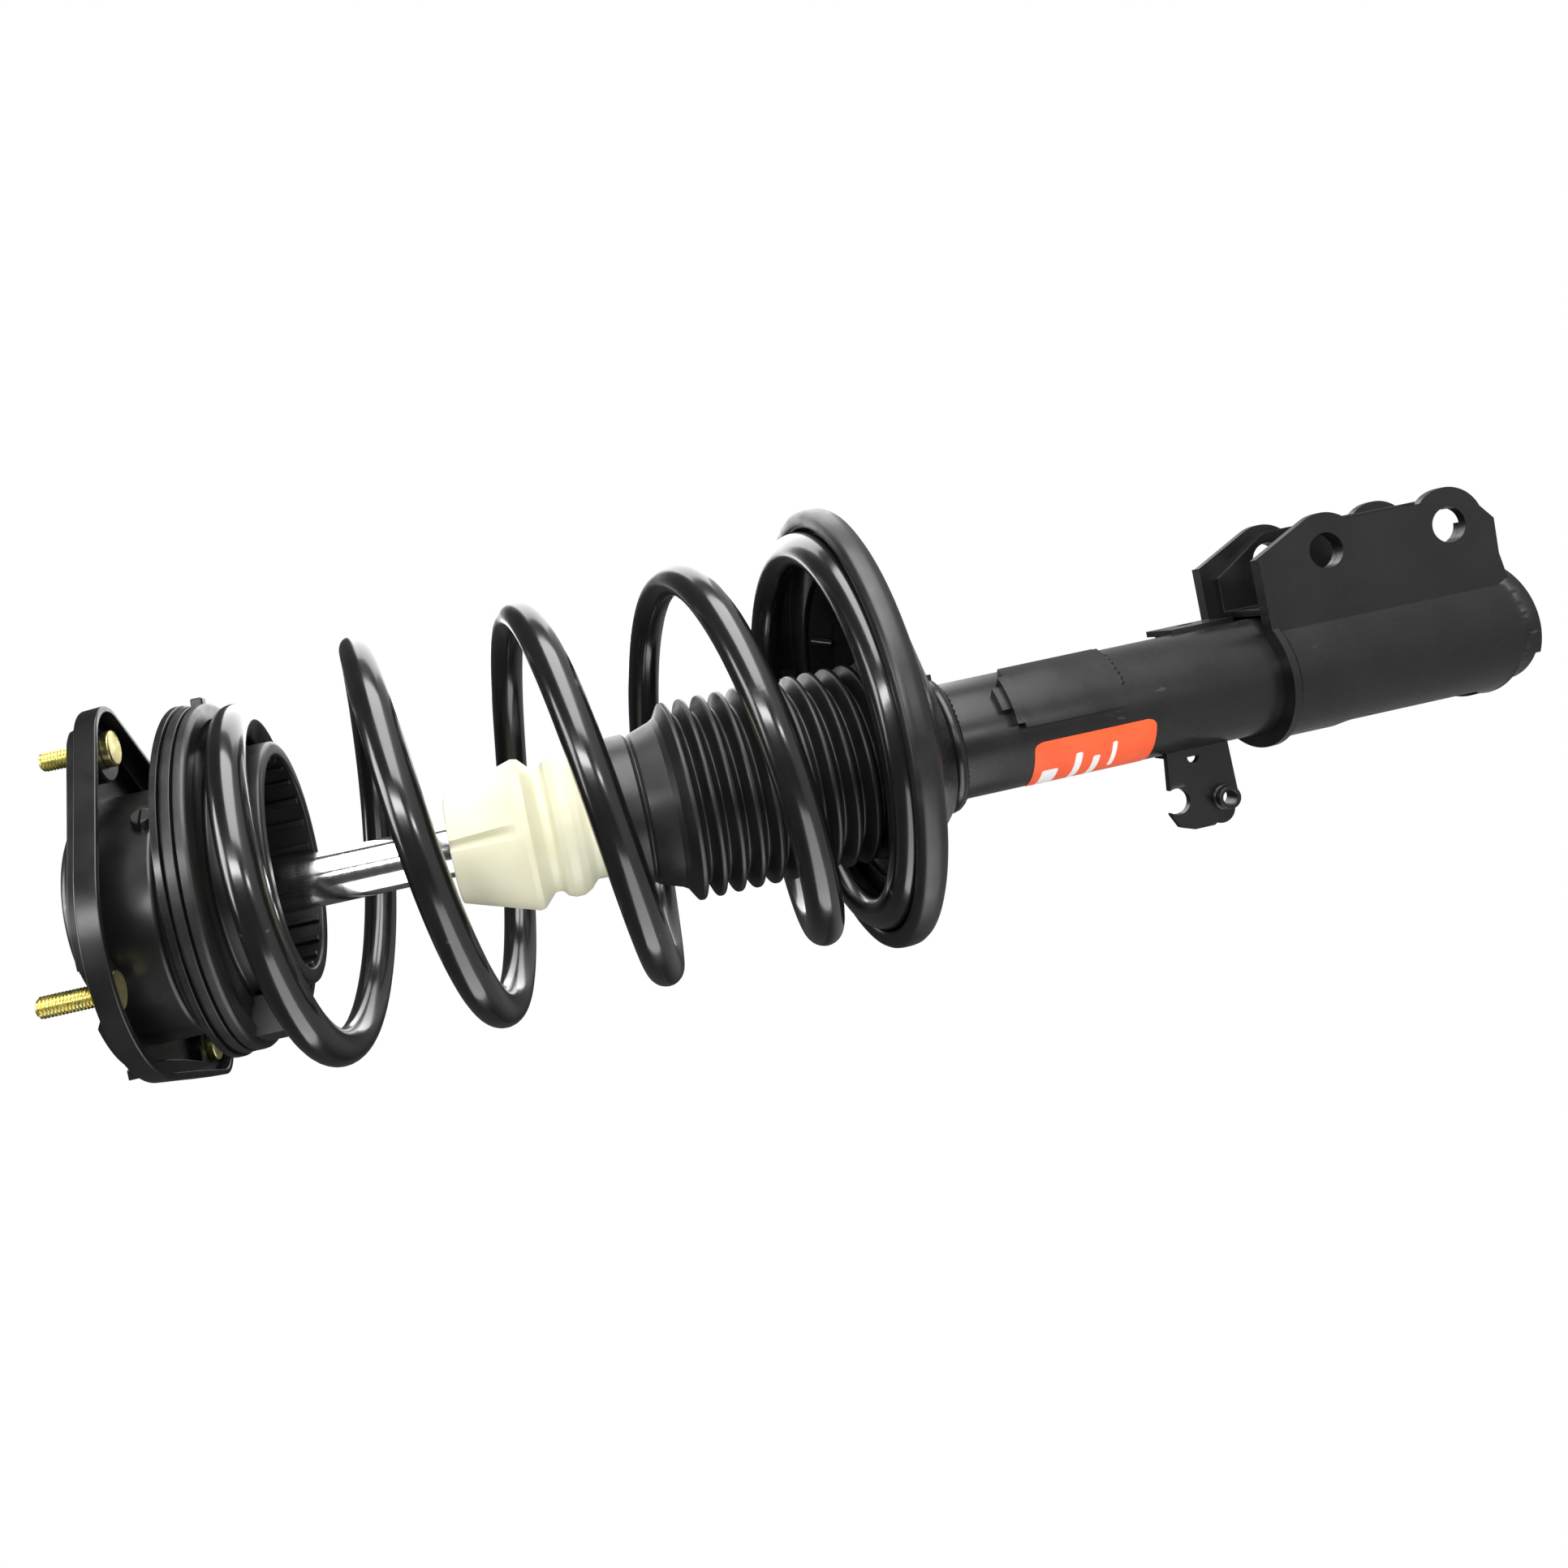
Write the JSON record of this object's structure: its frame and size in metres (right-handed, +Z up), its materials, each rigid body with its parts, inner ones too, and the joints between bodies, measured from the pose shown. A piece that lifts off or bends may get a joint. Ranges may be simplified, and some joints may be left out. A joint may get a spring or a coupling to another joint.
{
  "type": "suspension strut assembly",
  "caption": "Telescopic suspension strut with coil spring, three-stud top mount and bearing, dust boot, bump stop and two-bolt knuckle clamp.",
  "frame": {"origin": "on the strut's rod axis, in the plane of the top mount's mounting face", "axes": "+Z up along the rod axis, from the knuckle clamp towards the top mount; +X towards the knuckle clamp's bolts; -Y is the side with the hose bracket's weld nut"},
  "size_m": [0.1876, 0.186, 0.6136],
  "materials": {
    "mount_paint": "satin black paint over pressed steel",
    "cap_paint": "satin black paint",
    "zinc": "yellow zinc plate",
    "mount_rubber": "moulded rubber",
    "seal_rubber": "smooth moulded rubber",
    "bearing_steel": "ground steel",
    "ball_steel": "polished steel",
    "cage_brass": "pressed brass",
    "plain_steel": "turned steel",
    "seat_paint": "satin black paint over pressed steel",
    "insulator_rubber": "moulded rubber",
    "spring_paint": "gloss black coating",
    "rod_chrome": "hard chrome, ground",
    "stop_foam": "cream polyurethane foam",
    "boot_rubber": "satin moulded rubber",
    "tube_paint": "satin black paint",
    "bushing": "bearing lining",
    "band": "filled plastic band",
    "sinter": "sintered steel",
    "label_film": "printed film, no lettering"
  },
  "bodies": {
    "top_mount": {"mount_plate": "mount_paint", "mount_studs": "zinc", "dome_cap": "cap_paint", "mount_rubber": "mount_rubber", "bearing_outer_race": "bearing_steel", "bearing_dust_seal": "seal_rubber"},
    "bearing_cage": {"bearing_balls": "ball_steel", "ball_cage": "cage_brass"},
    "rod_assembly": {"bearing_inner_race": "bearing_steel", "rod_nut": "plain_steel", "rod_washer": "plain_steel", "seat_spacer": "plain_steel", "upper_spring_seat": "seat_paint", "upper_insulator": "insulator_rubber", "coil_spring": "spring_paint", "piston_rod": "rod_chrome", "rebound_stop": "mount_rubber", "piston": "sinter", "piston_band": "band", "valve_shims": "plain_steel", "piston_nut": "plain_steel"},
    "strut_body": {"dust_boot": "boot_rubber", "lower_insulator": "insulator_rubber", "lower_spring_seat": "seat_paint", "strut_tube": "tube_paint", "rod_seal": "seal_rubber", "rod_guide": "sinter", "guide_bushing": "bushing", "pressure_tube": "plain_steel", "base_valve": "sinter", "base_cup": "tube_paint", "knuckle_clamp": "tube_paint", "clamp_stiffener": "tube_paint", "link_pad": "tube_paint", "wire_tab": "tube_paint", "hose_bracket": "tube_paint", "hose_weld_nut": "tube_paint", "tube_label": "label_film"},
    "bump_stop": {"bump_stop": "stop_foam"}
  },
  "joints": [
    {"name": "steer", "type": "hinge", "parent": "top_mount", "child": "rod_assembly", "pos_m": [0, 0, -0.018], "axis": [0, 0, 1], "continuous": true},
    {"name": "cage_turn", "type": "hinge", "parent": "top_mount", "child": "bearing_cage", "pos_m": [0, 0, -0.018], "axis": [0, 0, 1], "continuous": true},
    {"name": "strut_slide", "type": "slide", "parent": "rod_assembly", "child": "strut_body", "axis": [0, 0, 1], "range_m": [0, 0.138], "stiffness_N_per_m": 25000, "springref_m": -0.06, "deforming": ["coil_spring"]},
    {"name": "bump_stop_slide", "type": "slide", "parent": "strut_body", "child": "bump_stop", "axis": [0, 0, -1], "range_m": [0, 0.05806], "deforming": ["dust_boot"]}
  ],
  "couplings": [
    {"joint": "cage_turn", "follows": "steer", "ratio": 0.3896},
    {"joint": "bump_stop_slide", "follows": "strut_slide", "ratio": 0.42}
  ]
}
